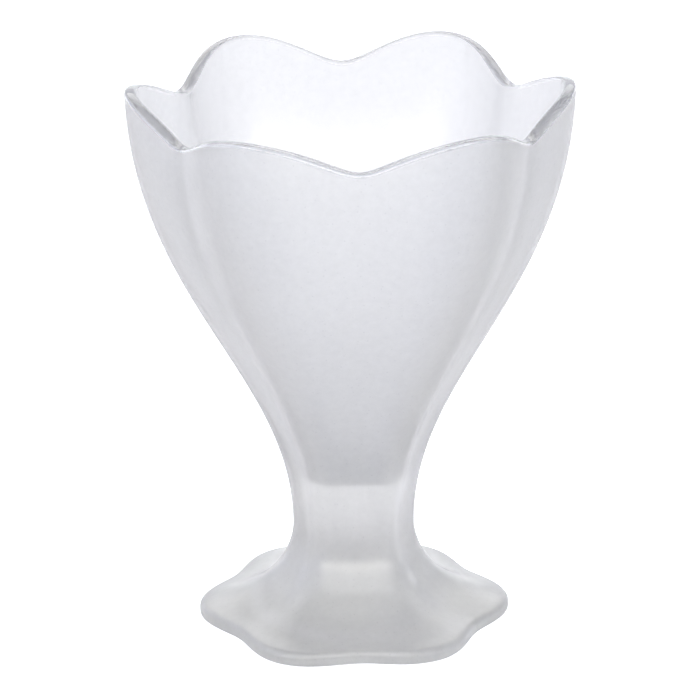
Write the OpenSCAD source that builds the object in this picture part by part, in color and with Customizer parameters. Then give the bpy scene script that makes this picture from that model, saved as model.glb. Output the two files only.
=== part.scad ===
// Footed dessert glass of frosted pressed glass, with six petals and a clear fire-polished lip.
// Millimetres. The origin is the middle of the underside, +Z is up, and two petals lie on the X axis.

/* [Overall] */
// Height from the table to the crest of a rim petal
height = 120; // [105:0.5:150]
// Width of the rim across two opposite petals
rim_width = 95.5; // [80:0.5:120]
// Width of the stem across two opposite petals, at its waist
stem_width = 26.3; // [22:0.1:34]
// Width of the foot across two opposite petals
foot_width = 67.8; // [58:0.1:90]

/* [Petals] */
// Number of petals round the glass
petals = 6; // [4:2:8]
// How far the creases lie inside the petals at the rim
rim_crease = 5.1; // [1:0.1:8]
// How far the creases lie inside the petals at the waist of the stem
stem_crease = 1.4; // [0.4:0.1:2.4]
// How far the creases lie inside the petals at the edge of the foot
foot_crease = 3.9; // [1:0.1:6]
// How far the lip dips from a petal's crest to a crease
rim_wave = 6.4; // [2:0.1:9]

/* [Bowl] */
// Wall at the lip, measured level
rim_wall = 2.6; // [1.8:0.1:3.6]
// Wall beside the cavity's floor, measured level
floor_wall = 3.6; // [2.6:0.1:5]
// Height of the cavity's floor above the table
floor_height = 34; // [28:0.5:44]
// Glass under the cavity's floor that belongs to the bowl
floor_thickness = 3; // [2:0.1:5]
// Round between the cavity's floor and its wall
floor_round = 1.2; // [1:0.1:5]
// Height of the clear lip band above the frosted wall
lip_band = 3.4; // [2.4:0.1:6]
// How far the wall keeps the stem's direction as it rises from the waist
bowl_pull = 34.5; // [24:0.5:44]
// How far the wall keeps the lip's direction as it drops from the rim
rim_pull = 46.4; // [34:0.2:54]
// Outward lean of the wall at the lip, in degrees
rim_lean = 1.2; // [0:0.1:8]

/* [Stem] */
// Height of the waist, the stem's narrowest place
waist_height = 21.2; // [19:0.1:25]
// Height of the joint between the stem and the foot
foot_height = 12; // [9:0.5:15]
// How far the side keeps the stem's direction as it drops from the waist
stem_pull = 3.2; // [1:0.1:6]

/* [Foot] */
// Height of the foot's edge, where its upper round ends
foot_edge = 3.3; // [2.8:0.1:5]
// Round along the top of the foot's edge
foot_top_round = 1.6; // [0.8:0.1:1.7]
// Round along the bottom of the foot's edge
foot_low_round = 0.9; // [0.4:0.1:1.1]
// How far the foot's top keeps its slope from the edge inwards
foot_pull = 17.8; // [12:0.2:21]
// Slope of the foot's top beside its edge, in degrees
foot_slope = 10; // [4:0.5:16]
// Width of the hollow under the foot
recess_width = 44; // [30:1:48]
// Depth of the hollow under the foot
recess_depth = 1.2; // [0.6:0.1:2]
// Level run of the hollow's sloping side
recess_run = 3; // [1:0.5:6]

/* [Hidden] */
overrun = 1;

frosted = [0.87, 0.89, 0.91, 0.85];
clear = [0.78, 0.84, 0.89, 0.55];

rim_r = rim_width / 2;
stem_r = stem_width / 2;
foot_r = foot_width / 2;
recess_r = recess_width / 2;
lip_r = rim_wall / 2;
lip_z = height - lip_r;
band_z = height - lip_band;
bowl_z = floor_height - floor_thickness;

// How soft the creases are outside and inside the glass, and the power that rounds the petals beside them
outside_soft_share = 0.06;
inside_soft_share = 0.3;
outline_power = 1.7;
// Power that flattens the lip's rounded crest, where 1 is a half circle
lip_power = 0.6;
// How soft the dips of the lip's wave are
wave_soft_share = 0.34;
// Power with which the wave dies away from the lip down the wall
wave_fade_power = 2.6;

// Counts of facets
petal_steps = 12;
wall_steps = 14;
stem_steps = 6;
flare_steps = 10;
round_steps = 4;
lip_steps = 8;
search_steps = 40;
around = petals * petal_steps;

function lerp(a, b, t) = a + (b - a) * t;

function bezier(p, t) =
    pow(1 - t, 3) * p[0] + 3 * t * pow(1 - t, 2) * p[1] + 3 * t * t * (1 - t) * p[2] + pow(t, 3) * p[3];

// Where along a curve that only rises or only falls it reaches a height
function place_at(p, z, low = 0, high = 1, left = search_steps) =
    let (mid = (low + high) / 2, passed = (bezier(p, mid)[1] > z) == (p[3][1] > p[0][1]))
    left == 0 ? mid : passed ? place_at(p, z, low, mid, left - 1) : place_at(p, z, mid, high, left - 1);

// Outline through a petal's middle, from the waist up to the lip
wall_curve = [
    [stem_r, waist_height],
    [stem_r, waist_height + bowl_pull],
    [rim_r - rim_pull * sin(rim_lean), height - rim_pull * cos(rim_lean)],
    [rim_r, height]
];

// Outline through a petal's middle, from the waist down to the top of the foot's edge
edge_turn = 90 - foot_slope;
shoulder = [
    foot_r - foot_top_round * (1 - cos(edge_turn)),
    foot_edge
];
flare_curve = [
    [stem_r, waist_height],
    [stem_r, waist_height - stem_pull],
    shoulder + foot_pull * [-cos(foot_slope), sin(foot_slope)],
    shoulder
];

// 1 in a petal's middle and 0 in a crease, at an angle round the axis
function petal(angle, soft_share) =
    let (c = cos(petals * angle / 2))
    (norm([c, soft_share]) - soft_share) / (norm([1, soft_share]) - soft_share);

function wall_r(z) = bezier(wall_curve, place_at(wall_curve, z))[0];
function wall_at(z) = lerp(floor_wall, rim_wall, (z - floor_height) / (lip_z - floor_height));
function bowl_crease(r) = lerp(stem_crease, rim_crease, (r - stem_r) / (rim_r - stem_r));
function foot_crease_at(r) = lerp(stem_crease, foot_crease, (r - stem_r) / (foot_r - stem_r));
function wave_share(z) = z > bowl_z ? pow((z - bowl_z) / (lip_z - bowl_z), wave_fade_power) : 0;

// A ring is [petal radius, height at a petal's middle, depth of the creases, softness of the creases,
// share of the lip's wave]
function outer_ring(z) = [wall_r(z), z, bowl_crease(wall_r(z)), outside_soft_share, wave_share(z)];
function inner_ring(z) = [wall_r(z) - wall_at(z), z, bowl_crease(wall_r(z)), inside_soft_share, wave_share(z)];
function foot_ring(p) = [p[0], p[1], foot_crease_at(p[0]), outside_soft_share, 0];

function ring_point(ring, angle) =
    let (r = ring[0] - ring[2] * (1 - pow(petal(angle, ring[3]), outline_power)))
    let (z = ring[1] - ring[4] * rim_wave * (1 - petal(angle, wave_soft_share)))
    [r * cos(angle), r * sin(angle), z];

function levels(low, high, steps) = [for (i = [0:steps]) lerp(low, high, i / steps)];

// Skin over a row of rings, closed by a flat cap at each end or, for a hoop, by a strip between its ends.
// That strip has the same triangles as the face that it rests on.
module loft(rings, hoop = false) {
    last = len(rings) - 1;
    skin = [for (ring = rings) for (i = [0:around - 1]) ring_point(ring, 360 * i / around)];
    caps = [[0, 0, rings[0][1]], [0, 0, rings[last][1]]];
    low_cap = len(skin);
    high_cap = low_cap + 1;
    last_row = last * around;
    sides = [
        for (j = [0:last - 1], i = [0:around - 1])
        let (a = j * around + i, b = j * around + (i + 1) % around)
        each [[a, a + around, b + around], [a, b + around, b]]
    ];
    ends = [
        for (i = [0:around - 1])
        let (k = (i + 1) % around)
        each hoop
            ? [[last_row + i, i, last_row + k], [i, k, last_row + k]]
            : [[low_cap, i, k], [high_cap, last_row + k, last_row + i]]
    ];
    polyhedron(points = hoop ? skin : concat(skin, caps), faces = concat(sides, ends));
}

// Clear, fire-polished lip that follows the petals' wave
module rim() {
    lip = outer_ring(lip_z);
    turn = [
        for (angle = levels(0, 180, lip_steps))
        let (c = cos(angle), inwards = (1 - sign(c) * pow(abs(c), lip_power)) / 2)
        let (soft_share = lerp(outside_soft_share, inside_soft_share, inwards))
        [lip[0] - rim_wall * inwards, lip_z + lip_r * pow(sin(angle), lip_power), lip[2], soft_share, lip[4]]
    ];
    color(clear) loft(concat([outer_ring(band_z)], turn, [inner_ring(band_z)]), hoop = true);
}

// Frosted wall of petals round the cavity, with the cavity's floor
module bowl() {
    round_z = floor_height + floor_round;
    corner = inner_ring(round_z);
    outside = [for (z = levels(bowl_z, band_z, wall_steps)) outer_ring(z)];
    inside = [for (z = levels(band_z, round_z, wall_steps)) inner_ring(z)];
    floor_turn = [
        for (i = [1:round_steps])
        let (angle = 90 * i / round_steps)
        [corner[0] - floor_round * (1 - cos(angle)), round_z - floor_round * sin(angle), corner[2], corner[3], 0]
    ];
    color(frosted) loft(concat(outside, inside, floor_turn));
}

// Solid stem between the foot and the bowl
module stem() {
    low = place_at(flare_curve, foot_height);
    below = [for (t = levels(low, 0, stem_steps)) foot_ring(bezier(flare_curve, t))];
    above = [for (i = [1:stem_steps]) outer_ring(lerp(waist_height, bowl_z, i / stem_steps))];
    color(frosted) loft(concat(below, above));
}

// Petal foot with a rounded edge and a shallow hollow underneath
module foot() {
    top = place_at(flare_curve, foot_height);
    low_turn = [
        for (angle = levels(90, 0, round_steps))
        foot_ring([foot_r - foot_low_round * (1 - cos(angle)), foot_low_round * (1 - sin(angle))])
    ];
    top_turn = [
        for (angle = levels(0, edge_turn, round_steps))
        foot_ring([
            foot_r - foot_top_round * (1 - cos(angle)),
            foot_edge - foot_top_round * (sin(edge_turn) - sin(angle))
        ])
    ];
    flare = [
        for (i = [1:flare_steps])
        foot_ring(bezier(flare_curve, lerp(1, top, i / flare_steps)))
    ];
    slope = recess_run / recess_depth;
    color(frosted) difference() {
        loft(concat(low_turn, top_turn, flare));
        translate([0, 0, -overrun])
            cylinder(h = overrun + recess_depth, r1 = recess_r + overrun * slope, r2 = recess_r - recess_run);
    }
}

rim();
bowl();
stem();
foot();
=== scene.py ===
"""A footed parfait glass of frosted pressed glass with six petals and a clear lip, in a white studio."""

import math

import bmesh
import bpy
from mathutils import Matrix, Vector


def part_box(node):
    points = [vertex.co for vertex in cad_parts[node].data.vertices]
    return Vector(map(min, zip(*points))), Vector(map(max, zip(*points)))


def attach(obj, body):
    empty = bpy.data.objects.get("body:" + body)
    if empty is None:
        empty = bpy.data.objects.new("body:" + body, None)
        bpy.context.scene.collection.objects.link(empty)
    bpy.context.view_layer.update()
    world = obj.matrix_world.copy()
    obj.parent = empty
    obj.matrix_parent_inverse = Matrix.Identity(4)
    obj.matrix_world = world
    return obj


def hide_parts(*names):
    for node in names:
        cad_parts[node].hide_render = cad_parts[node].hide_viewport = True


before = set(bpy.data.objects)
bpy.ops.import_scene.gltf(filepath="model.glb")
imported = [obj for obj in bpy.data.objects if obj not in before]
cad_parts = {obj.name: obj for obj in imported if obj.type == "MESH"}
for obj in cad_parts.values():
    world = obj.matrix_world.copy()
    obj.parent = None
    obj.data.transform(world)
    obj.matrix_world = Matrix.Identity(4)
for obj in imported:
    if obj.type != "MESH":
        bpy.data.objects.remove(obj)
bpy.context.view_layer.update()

# Sizes of the glass, in metres, with its main places taken from the frame
MM = 0.001
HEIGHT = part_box("rim")[1].z
FOOT_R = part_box("foot")[1].x
FOOT_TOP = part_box("stem")[0].z
BOWL_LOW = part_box("stem")[1].z
RIM_R = 47.75 * MM
STEM_R = 13.15 * MM
WAIST_Z = 21.2 * MM

# Petals: the depth of the creases between them, how soft the creases are, and the lip's wave
PETALS = 6
RIM_CREASE = 5.1 * MM
STEM_CREASE = 1.4 * MM
FOOT_CREASE = 3.9 * MM
OUTSIDE_SOFT = 0.06
INSIDE_SOFT = 0.3
OUTLINE_POWER = 1.7
RIM_WAVE = 6.4 * MM
WAVE_SOFT = 0.34
WAVE_FADE = 2.6

# Bowl: its wall, the cavity's floor, the lip with its flattened crest, and how the wall leaves waist and lip
RIM_WALL = 2.6 * MM
FLOOR_WALL = 3.6 * MM
FLOOR_Z = 34 * MM
FLOOR_ROUND = 1.2 * MM
LIP_BAND = 3.4 * MM
LIP_POWER = 0.6
LIP_R = RIM_WALL / 2
LIP_Z = HEIGHT - LIP_R
BAND_Z = HEIGHT - LIP_BAND
BOWL_PULL = 34.5 * MM
RIM_PULL = 46.4 * MM
RIM_LEAN = math.radians(1.2)

# Foot: its flare, its rounded edge and the hollow under it
STEM_PULL = 3.2 * MM
FOOT_PULL = 17.8 * MM
FOOT_SLOPE = math.radians(10)
FOOT_EDGE = 3.3 * MM
FOOT_TOP_ROUND = 1.6 * MM
FOOT_LOW_ROUND = 0.9 * MM
EDGE_TURN = math.pi / 2 - FOOT_SLOPE
FLAT_R = FOOT_R - FOOT_LOW_ROUND
RECESS_R = 22 * MM
RECESS_DEPTH = 1.2 * MM
RECESS_RUN = 3 * MM

# How dull the moulded skin of the cavity is beside the satin etch, and how far below the lip it gets so
INSIDE_DULL = 0.3
INSIDE_FADE = 8 * MM
# Where the satin etch begins below the lip's crest, and over what height it comes in
ETCH_START = 0.5 * MM
ETCH_FADE = 0.8 * MM
# Height up to which the lower glass is darkened: a little for what thick glass swallows, mostly painted shade
# on the stem and lower bowl. Below the stem the darkening fades out again down the foot, which thins out as
# well
SHADE_TOP_Z = 62 * MM

# Roughness of fire-polished glass and of glass etched by acid, and a coat for the gleam of the etch
GLASS_IOR = 1.5
GLOSSY = 0.06
SATIN = 0.55
COAT_WEIGHT = 0.8
COAT_ROUGHNESS = 0.2
# Grain and pinholes of the etch. Real ones are under 0.1 mm, too fine to show, so both are drawn coarser
GRAIN = 1.6 * MM
GRAIN_DEPTH = 0.05 * MM
PINHOLES = 1.5 * MM
PINHOLE_SHARES = (0.07, 0.15)
# Waves that pressing leaves in the skin of the cavity
RIPPLE = 9 * MM
RIPPLE_DEPTH = 0.2 * MM
# Colours of the etch's darker and lighter grain and of its pinholes, the darkening of the lower glass (a
# little for what thick glass takes away, mostly painted shade), and the
# # tint of clear glass
ETCH_DARK = "D9D9D8"
ETCH_LIGHT = "F2F2F1"
PINHOLE = "D6D6D6"
THICK_TINT_AND_SHADE = "EFEFEF"
CLEAR_TINT = "F7F8FB"

# Fineness of the meshes and of the search along a curve
AROUND = 288
WALL_STEPS = 96
LIP_STEPS = 40
ROUND_STEPS = 10
STEM_STEPS = 16
FLARE_STEPS = 30
FLAT_STEPS = 4
SEARCH_STEPS = 40
TOUCH = 0.001 * MM

# Places of the three finishes among a piece's materials
ETCHED_FACE, POLISHED_FACE, FUSED_FACE = range(3)

# Soft-edged panels of light round the glass: the way to each, the cosines from that way between which its
# sides fade in, its lowest and highest elevation in degrees, its colour, and its strength as a share of white
PANELS = {
    "key": ((0, -1, 0), (0.25, 0.6), (14, 22), "FFFCF4", 6.3),
    "front": ((0, -1, 0), (0.25, 0.6), (24, 55), "FFFFFF", 2.12),
    "backdrop_low": ((0, 1, 0), (0.5, 0.75), (-60, 12), "F8FCFF", 1.38),
    "backdrop_high": ((0, 1, 0), (0.25, 0.4), (25, 48), "FFFFF6", 1.28),
    "backlight": ((0, 1, 0), (0.7, 0.85), (12, 48), "F6F7FF", 1.08),
    "left": ((-1, 0, 0), (0.35, 0.8), (-60, 48), "E2E4FF", 1.38),
    "right": ((1, 0, 0), (0.35, 0.8), (-60, 48), "C8D0FF", 0.19),
}
PANEL_FADE = 0.03
# A small softbox behind to the right, which the lip mirrors: azimuth from the camera's side, elevation and
# width in degrees, and strength
SOFTBOX = (140, 46, 20, 0.03)

# Paper under the glass: its size, how far it lies below the foot, and its own glow as a share of white, first
# towards the glass and then towards the camera, to which it shows pure white
PAPER_R = 1000 * MM
PAPER_DROP = 0.05 * MM
PAPER_SEGMENTS = 96
PAPER_GLOW = 0.335
PAPER_SEEN = 0.6

# The photograph's camera
LENS = 225.4
SENSOR = 36
CAMERA_AZIMUTH = math.radians(-2.52)
CAMERA_ELEVATION = math.radians(19.98)
CAMERA_ROLL = math.radians(0.44)
CAMERA_DISTANCE = 945.7 * MM
CAMERA_CENTRE = Vector((0, 0, 56.5 * MM))
AIM_RIGHT = -0.51 * MM
AIM_UP = 3.99 * MM


def lerp(a, b, t):
    return a + (b - a) * t


def levels(low, high, steps):
    return [lerp(low, high, i / steps) for i in range(steps + 1)]


def ease(low, high, x):
    """0 below low, 1 above high and a smooth rise between them."""
    t = min(1, max(0, (x - low) / (high - low)))
    return t * t * (3 - 2 * t)


# Outline of the glass

def bezier(curve, t):
    p, q, r, s = curve
    return p * (1 - t) ** 3 + q * 3 * t * (1 - t) ** 2 + r * 3 * t * t * (1 - t) + s * t ** 3


def place_at(curve, z):
    """Where along a curve that only rises or only falls it reaches a height."""
    low, high = 0.0, 1.0
    rising = curve[3].y > curve[0].y
    for _ in range(SEARCH_STEPS):
        mid = (low + high) / 2
        if (bezier(curve, mid).y > z) == rising:
            high = mid
        else:
            low = mid
    return low


# Through a petal's middle: from the waist up to the lip, and from the waist down to the foot's edge
WALL_CURVE = (
    Vector((STEM_R, WAIST_Z)),
    Vector((STEM_R, WAIST_Z + BOWL_PULL)),
    Vector((RIM_R - RIM_PULL * math.sin(RIM_LEAN), HEIGHT - RIM_PULL * math.cos(RIM_LEAN))),
    Vector((RIM_R, HEIGHT)),
)
SHOULDER = Vector((FOOT_R - FOOT_TOP_ROUND * (1 - math.cos(EDGE_TURN)), FOOT_EDGE))
FLARE_CURVE = (
    Vector((STEM_R, WAIST_Z)),
    Vector((STEM_R, WAIST_Z - STEM_PULL)),
    SHOULDER + FOOT_PULL * Vector((-math.cos(FOOT_SLOPE), math.sin(FOOT_SLOPE))),
    SHOULDER,
)
wall_radii = {}


def wall_r(z):
    """Outer radius of the bowl or stem through a petal's middle, kept for the next time."""
    key = round(z, 8)
    if key not in wall_radii:
        wall_radii[key] = bezier(WALL_CURVE, place_at(WALL_CURVE, z)).x
    return wall_radii[key]


def wall_at(z):
    """The wall's thickness, measured level."""
    return lerp(FLOOR_WALL, RIM_WALL, (z - FLOOR_Z) / (LIP_Z - FLOOR_Z))


def lobe(angle, soft):
    """1 in a petal's middle and 0 in a crease."""
    return (math.hypot(math.cos(PETALS * angle / 2), soft) - soft) / (math.hypot(1, soft) - soft)


def crease_at(r, z):
    """How deep the creases are at a point of the round outline. They end at the hollow under the foot."""
    if z >= WAIST_Z:
        return lerp(STEM_CREASE, RIM_CREASE, (wall_r(min(z, LIP_Z)) - STEM_R) / (RIM_R - STEM_R))
    if z <= RECESS_DEPTH and r <= FLAT_R:
        return crease_at(FLAT_R, FOOT_EDGE) * max(0, (r - RECESS_R) / (FLAT_R - RECESS_R))
    return lerp(STEM_CREASE, FOOT_CREASE, (r - STEM_R) / (FOOT_R - STEM_R)) * min(1, r / STEM_R)


def wave_at(z):
    """How much of the lip's wave a height takes part in."""
    share = min(1, max(0, (z - BOWL_LOW) / (LIP_Z - BOWL_LOW)))
    return share ** WAVE_FADE


# Meshes

def spun(outline, closed=False):
    """A closed surface of revolution from an outline of (radius, height) points, as a bmesh."""
    bm = bmesh.new()
    verts = [bm.verts.new((r, 0, z)) for r, z in outline]
    edges = [bm.edges.new(pair) for pair in zip(verts, verts[1:])]
    if closed:
        edges.append(bm.edges.new((verts[-1], verts[0])))
    bmesh.ops.spin(
        bm,
        geom=verts + edges,
        cent=(0, 0, 0),
        axis=(0, 0, 1),
        angle=math.tau,
        steps=AROUND,
        use_merge=True,
    )
    bmesh.ops.remove_doubles(bm, verts=bm.verts, dist=TOUCH)
    bmesh.ops.recalc_face_normals(bm, faces=bm.faces)
    return bm


def is_level(face, z):
    return all(abs(v.co.z - z) < TOUCH for v in face.verts)


def finish_faces(bm, joints):
    """Polished glass in the cavity and on the lip, etched glass elsewhere, and nothing at the joints."""
    for face in bm.faces:
        centre = face.calc_center_median()
        r, z = Vector(centre.xy).length, centre.z
        in_cavity = z > FLOOR_Z - TOUCH and r < wall_r(min(z, HEIGHT)) - RIM_WALL / 2
        polished = in_cavity or HEIGHT - z < ETCH_START
        joint = any(is_level(face, joint_z) for joint_z in joints)
        face.smooth = True
        face.material_index = FUSED_FACE if joint else POLISHED_FACE if polished else ETCHED_FACE
    for edge in bm.edges:
        edge.smooth = len({face.material_index == FUSED_FACE for face in edge.link_faces}) == 1


def shape_petals(bm):
    """Gives a round form its petals and the lip's wave, and notes how dull its glass is and how far painted
    shade and thickness darken it low down.
    """
    dull = bm.verts.layers.float.new("dull")
    thick_and_shaded = bm.verts.layers.float.new("thick_and_shaded")
    for v in bm.verts:
        r = math.hypot(v.co.x, v.co.y)
        z = v.co.z
        angle = math.atan2(v.co.y, v.co.x)
        inwards = min(1, (wall_r(min(z, LIP_Z)) - r) / RIM_WALL) if z > FLOOR_Z - TOUCH else 0
        skin = INSIDE_DULL * ease(ETCH_START, INSIDE_FADE, HEIGHT - z)
        etch = ease(ETCH_START, ETCH_START + ETCH_FADE, HEIGHT - z)
        past_middle = inwards > 0.5
        v[dull] = skin if past_middle else etch
        # Painted shade: the stem and lower bowl are marked for darkening, a little for thick glass's
        # absorption and mostly as painted shade
        v[thick_and_shaded] = (1 - ease(FLOOR_Z, SHADE_TOP_Z, z)) * ease(0, FOOT_TOP, z)
        petal = lobe(angle, lerp(OUTSIDE_SOFT, INSIDE_SOFT, max(0, inwards))) ** OUTLINE_POWER
        petal_r = r - crease_at(r, z) * (1 - petal) if r > TOUCH else 0
        wave_z = z - wave_at(z) * RIM_WAVE * (1 - lobe(angle, WAVE_SOFT))
        v.co = (petal_r * math.cos(angle), petal_r * math.sin(angle), wave_z)


def petal_piece(node, bm, joints):
    """Makes a round form a piece of the glass and puts it in the place of its CAD node."""
    finish_faces(bm, joints)
    shape_petals(bm)
    mesh = bpy.data.meshes.new(node + "_glass")
    bm.to_mesh(mesh)
    bm.free()
    for material in FINISHES:
        mesh.materials.append(material)
    piece = bpy.data.objects.new(node + "_glass", mesh)
    bpy.context.scene.collection.objects.link(piece)
    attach(piece, "root")
    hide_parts(node)


def lip_crest(a):
    """A point of the lip's crest, which is flatter than a half circle, from 0 outside to pi inside."""
    middle = wall_r(LIP_Z) - LIP_R
    outwards = math.copysign(abs(math.cos(a)) ** LIP_POWER, math.cos(a))
    return middle + LIP_R * outwards, LIP_Z + LIP_R * math.sin(a) ** LIP_POWER


def rim():
    """Clear fire-polished lip: a rounded band along the top of the wall."""
    outside = [(wall_r(z), z) for z in levels(BAND_Z, LIP_Z, ROUND_STEPS)]
    crest = [lip_crest(a) for a in levels(0, math.pi, LIP_STEPS)[1:-1]]
    inside = [(wall_r(z) - wall_at(z), z) for z in levels(LIP_Z, BAND_Z, ROUND_STEPS)]
    petal_piece("rim", spun(outside + crest + inside, closed=True), [BAND_Z])


def bowl():
    """Frosted wall of petals, with a smooth cavity that ends in a small flat floor."""
    corner_z = FLOOR_Z + FLOOR_ROUND
    corner_r = wall_r(corner_z) - wall_at(corner_z) - FLOOR_ROUND
    seat = [(r, BOWL_LOW) for r in levels(0, wall_r(BOWL_LOW), FLAT_STEPS)]
    outside = [(wall_r(z), z) for z in levels(BOWL_LOW, BAND_Z, WALL_STEPS)[1:]]
    inside = [(wall_r(z) - wall_at(z), z) for z in levels(BAND_Z, corner_z, WALL_STEPS)]
    turn = [
        (corner_r + FLOOR_ROUND * math.cos(a), corner_z - FLOOR_ROUND * math.sin(a))
        for a in levels(0, math.pi / 2, ROUND_STEPS)[1:]
    ]
    base = [(r, FLOOR_Z) for r in levels(corner_r, 0, FLAT_STEPS)[1:]]
    outline = seat + outside + inside + turn + base
    petal_piece("bowl", spun(outline), [BOWL_LOW, BAND_Z])


def stem():
    """Solid waist that carries the bowl, cut level where it meets the foot and the bowl."""
    low = place_at(FLARE_CURVE, FOOT_TOP)
    below = [tuple(bezier(FLARE_CURVE, t)) for t in levels(low, 0, STEM_STEPS)]
    above = [(wall_r(z), z) for z in levels(WAIST_Z, BOWL_LOW, STEM_STEPS)[1:]]
    seat = [(r, FOOT_TOP) for r in levels(0, below[0][0], FLAT_STEPS)[:-1]]
    top = [(r, BOWL_LOW) for r in levels(wall_r(BOWL_LOW), 0, FLAT_STEPS)[1:]]
    below[0] = (below[0][0], FOOT_TOP)
    above[-1] = (above[-1][0], BOWL_LOW)
    petal_piece("stem", spun(seat + below + above + top), [FOOT_TOP, BOWL_LOW])


def foot():
    """Petal foot with a rounded edge, hollowed a little underneath so that it stands on a ring."""
    top = place_at(FLARE_CURVE, FOOT_TOP)
    hollow = [(r, RECESS_DEPTH) for r in levels(0, RECESS_R - RECESS_RUN, FLAT_STEPS)]
    slope = [
        (lerp(RECESS_R - RECESS_RUN, RECESS_R, t), RECESS_DEPTH * (1 - ease(0, 1, t)))
        for t in levels(0, 1, ROUND_STEPS)[1:]
    ]
    ring = [(r, 0) for r in levels(RECESS_R, FLAT_R, FLAT_STEPS)[1:]]
    low_turn = [
        (FOOT_R - FOOT_LOW_ROUND * (1 - math.cos(a)), FOOT_LOW_ROUND * (1 - math.sin(a)))
        for a in levels(math.pi / 2, 0, ROUND_STEPS)[1:]
    ]
    top_turn = [
        (
            FOOT_R - FOOT_TOP_ROUND * (1 - math.cos(a)),
            FOOT_EDGE - FOOT_TOP_ROUND * (math.sin(EDGE_TURN) - math.sin(a)),
        )
        for a in levels(0, EDGE_TURN, ROUND_STEPS)
    ]
    flare = [tuple(bezier(FLARE_CURVE, t)) for t in levels(1, top, FLARE_STEPS)[1:]]
    flare[-1] = (flare[-1][0], FOOT_TOP)
    seat = [(r, FOOT_TOP) for r in levels(flare[-1][0], 0, FLAT_STEPS)[1:]]
    outline = hollow + slope + ring + low_turn + top_turn + flare + seat
    petal_piece("foot", spun(outline), [FOOT_TOP])


# Materials

def colour(code):
    """An sRGB hex value as linear colour with full alpha."""
    parts = [int(code[i:i + 2], 16) / 255 for i in (0, 2, 4)]
    return [c / 12.92 if c <= 0.04045 else ((c + 0.055) / 1.055) ** 2.4 for c in parts] + [1]


def add(tree, kind, inputs=None, **settings):
    """A node with its settings, and its inputs set to values or linked to sockets."""
    node = tree.nodes.new(kind)
    for name, value in settings.items():
        setattr(node, name, value)
    for name, value in (inputs or {}).items():
        if isinstance(value, bpy.types.NodeSocket):
            tree.links.new(value, node.inputs[name])
        else:
            node.inputs[name].default_value = value
    return node


def new_material(name):
    material = bpy.data.materials.new(name)
    material.use_nodes = True
    material.node_tree.nodes.clear()
    return material, material.node_tree


def etched_glass():
    """Soda-lime glass, pressed and then etched by acid."""
    # The etch leaves a fine even grain: light passes, what is behind it blurs, and low light gleams on it
    material, tree = new_material("etched_soda_lime_glass")
    place = add(tree, "ShaderNodeTexCoord").outputs["Object"]
    dull = add(tree, "ShaderNodeAttribute", attribute_name="dull").outputs["Fac"]
    thick_and_shaded = add(tree, "ShaderNodeAttribute", attribute_name="thick_and_shaded").outputs["Fac"]
    grain = add(tree, "ShaderNodeTexNoise", {
        "Vector": place,
        "Scale": 1 / GRAIN,
        "Detail": 3,
        "Roughness": 0.75,
    })
    relief = add(tree, "ShaderNodeMath", {0: grain.outputs["Fac"], 1: dull}, operation="MULTIPLY")
    bump = add(tree, "ShaderNodeBump", {
        "Height": relief.outputs[0],
        "Strength": 0.25,
        "Distance": GRAIN_DEPTH,
    })
    pinholes = add(tree, "ShaderNodeTexVoronoi", {"Vector": place, "Scale": 1 / PINHOLES})
    around_pinholes = add(tree, "ShaderNodeMapRange", {
        "Value": pinholes.outputs["Distance"],
        "From Min": PINHOLE_SHARES[0],
        "From Max": PINHOLE_SHARES[1],
    })
    cloud = add(tree, "ShaderNodeMix", {
        "Factor": grain.outputs["Fac"],
        "A": colour(ETCH_DARK),
        "B": colour(ETCH_LIGHT),
    }, data_type="RGBA")
    pitted = add(tree, "ShaderNodeMix", {
        "Factor": around_pinholes.outputs[0],
        "A": colour(PINHOLE),
        "B": cloud.outputs["Result"],
    }, data_type="RGBA")
    # Darker low down: a little for what thick glass swallows, mostly painted shade on the stem and lower bowl
    thick_and_shaded_colour = add(tree, "ShaderNodeMix", {
        "Factor": thick_and_shaded,
        "A": pitted.outputs["Result"],
        "B": colour(THICK_TINT_AND_SHADE),
    }, data_type="RGBA", blend_type="MULTIPLY")
    rough = add(tree, "ShaderNodeMapRange", {"Value": dull, "To Min": GLOSSY, "To Max": SATIN})
    shader = add(tree, "ShaderNodeBsdfPrincipled", {
        "Base Color": thick_and_shaded_colour.outputs["Result"],
        "Roughness": rough.outputs[0],
        "IOR": GLASS_IOR,
        "Transmission Weight": 1,
        "Coat Weight": COAT_WEIGHT,
        "Coat Roughness": COAT_ROUGHNESS,
        "Normal": bump.outputs[0],
    })
    add(tree, "ShaderNodeOutputMaterial", {"Surface": shader.outputs[0]})
    return material


def polished_glass():
    """Soda-lime glass with its fire-polished or moulded skin."""
    # The flame melts the lip smooth and the plunger leaves faint waves: clear and glossy, with soft mirroring
    material, tree = new_material("polished_soda_lime_glass")
    place = add(tree, "ShaderNodeTexCoord").outputs["Object"]
    dull = add(tree, "ShaderNodeAttribute", attribute_name="dull").outputs["Fac"]
    rough = add(tree, "ShaderNodeMapRange", {"Value": dull, "To Min": GLOSSY, "To Max": SATIN})
    ripple = add(tree, "ShaderNodeTexNoise", {"Vector": place, "Scale": 1 / RIPPLE, "Detail": 1})
    bump = add(tree, "ShaderNodeBump", {
        "Height": ripple.outputs["Fac"],
        "Strength": 0.1,
        "Distance": RIPPLE_DEPTH,
    })
    shader = add(tree, "ShaderNodeBsdfPrincipled", {
        "Base Color": colour(CLEAR_TINT),
        "Roughness": rough.outputs[0],
        "IOR": GLASS_IOR,
        "Transmission Weight": 1,
        "Normal": bump.outputs[0],
    })
    add(tree, "ShaderNodeOutputMaterial", {"Surface": shader.outputs[0]})
    return material


def fused_glass():
    """The faces inside the glass where two pieces run on as one: nothing shows there."""
    material, tree = new_material("fused_glass_joint")
    shader = add(tree, "ShaderNodeBsdfTransparent")
    add(tree, "ShaderNodeOutputMaterial", {"Surface": shader.outputs[0]})
    return material


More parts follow.
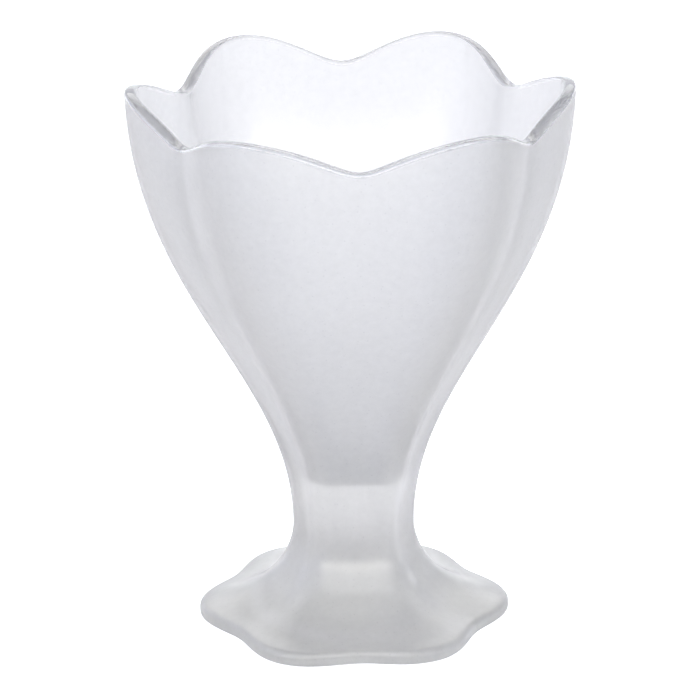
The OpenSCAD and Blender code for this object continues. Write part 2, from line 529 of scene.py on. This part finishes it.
def white_paper():
    """Matt white paper, which scatters light evenly and mirrors nothing. The camera sees it pure white."""
    material, tree = new_material("white_paper")
    seen = add(tree, "ShaderNodeLightPath").outputs["Is Camera Ray"]
    glow = add(tree, "ShaderNodeMapRange", {"Value": seen, "To Min": PAPER_GLOW, "To Max": PAPER_SEEN})
    shader = add(tree, "ShaderNodeBsdfPrincipled", {
        "Base Color": colour("F6F6F6"),
        "Roughness": 1,
        "Specular IOR Level": 0,
        "Emission Color": colour("F7F7FF"),
        "Emission Strength": glow.outputs[0],
    })
    add(tree, "ShaderNodeOutputMaterial", {"Surface": shader.outputs[0]})
    return material


# Studio

def paper_floor():
    """A wide round sheet of paper under the glass."""
    bm = bmesh.new()
    bmesh.ops.create_circle(bm, cap_ends=True, segments=PAPER_SEGMENTS, radius=PAPER_R)
    bmesh.ops.translate(bm, verts=bm.verts, vec=(0, 0, -PAPER_DROP))
    mesh = bpy.data.meshes.new("floor")
    bm.to_mesh(mesh)
    bm.free()
    mesh.materials.append(white_paper())
    floor = bpy.data.objects.new("floor", mesh)
    bpy.context.scene.collection.objects.link(floor)


def light_panels():
    """Soft panels of light far round the glass. The camera sees plain white in their place."""
    world = bpy.data.worlds.new("studio")
    bpy.context.scene.world = world
    world.use_nodes = True
    tree = world.node_tree
    tree.nodes.clear()
    way = add(tree, "ShaderNodeTexCoord").outputs["Generated"]
    height = add(tree, "ShaderNodeSeparateXYZ", {0: way}).outputs["Z"]
    room = add(tree, "ShaderNodeBackground", {"Strength": 0}).outputs[0]
    for facing, sides, elevations, code, strength in PANELS.values():
        low, high = (math.sin(math.radians(angle)) for angle in elevations)
        towards = add(tree, "ShaderNodeVectorMath", {0: way, 1: facing}, operation="DOT_PRODUCT")
        fades = (
            (towards.outputs["Value"], *sides),
            (height, low - PANEL_FADE, low + PANEL_FADE),
            (height, high + PANEL_FADE, high - PANEL_FADE),
        )
        share = strength
        for value, start, end in fades:
            fade = add(tree, "ShaderNodeMapRange", {
                "Value": value,
                "From Min": start,
                "From Max": end,
                "To Max": share,
            }, interpolation_type="SMOOTHSTEP")
            share = fade.outputs[0]
        panel = add(tree, "ShaderNodeBackground", {"Color": colour(code), "Strength": share})
        room = add(tree, "ShaderNodeAddShader", {0: room, 1: panel.outputs[0]}).outputs[0]
    white = add(tree, "ShaderNodeBackground", {"Color": colour("FFFFFF"), "Strength": 1})
    seen = add(tree, "ShaderNodeLightPath").outputs["Is Camera Ray"]
    both = add(tree, "ShaderNodeMixShader", {0: seen, 1: room, 2: white.outputs[0]})
    add(tree, "ShaderNodeOutputWorld", {"Surface": both.outputs[0]})


def softbox():
    """A small soft light far away from the glass."""
    azimuth, elevation, width, strength = SOFTBOX
    light = bpy.data.lights.new("softbox", "SUN")
    light.angle = math.radians(width)
    light.energy = strength
    lamp = bpy.data.objects.new("softbox", light)
    lamp.rotation_euler = (math.radians(90 - elevation), 0, math.radians(azimuth))
    bpy.context.scene.collection.objects.link(lamp)


def camera():
    """The photograph's view: from in front and above, with a long lens."""
    e, a = CAMERA_ELEVATION, CAMERA_AZIMUTH
    back = Vector((math.sin(a) * math.cos(e), -math.cos(a) * math.cos(e), math.sin(e)))
    right = Vector((math.cos(a), math.sin(a), 0))
    eye = CAMERA_CENTRE + back * CAMERA_DISTANCE
    target = CAMERA_CENTRE + right * AIM_RIGHT + back.cross(right) * AIM_UP
    back = (eye - target).normalized()
    right = Vector((-back.y, back.x, 0)).normalized()
    up = back.cross(right)
    c, s = math.cos(CAMERA_ROLL), math.sin(CAMERA_ROLL)
    turn = Matrix((right * c - up * s, right * s + up * c, back)).transposed().to_4x4()
    data = bpy.data.cameras.new("camera")
    data.lens = LENS
    data.sensor_width = SENSOR
    cam = bpy.data.objects.new("camera", data)
    cam.matrix_world = Matrix.Translation(eye) @ turn
    bpy.context.scene.collection.objects.link(cam)
    bpy.context.scene.camera = cam


FINISHES = (etched_glass(), polished_glass(), fused_glass())
camera()
paper_floor()
light_panels()
softbox()
rim()
bowl()
stem()
foot()
bpy.context.scene.view_settings.view_transform = "Standard"
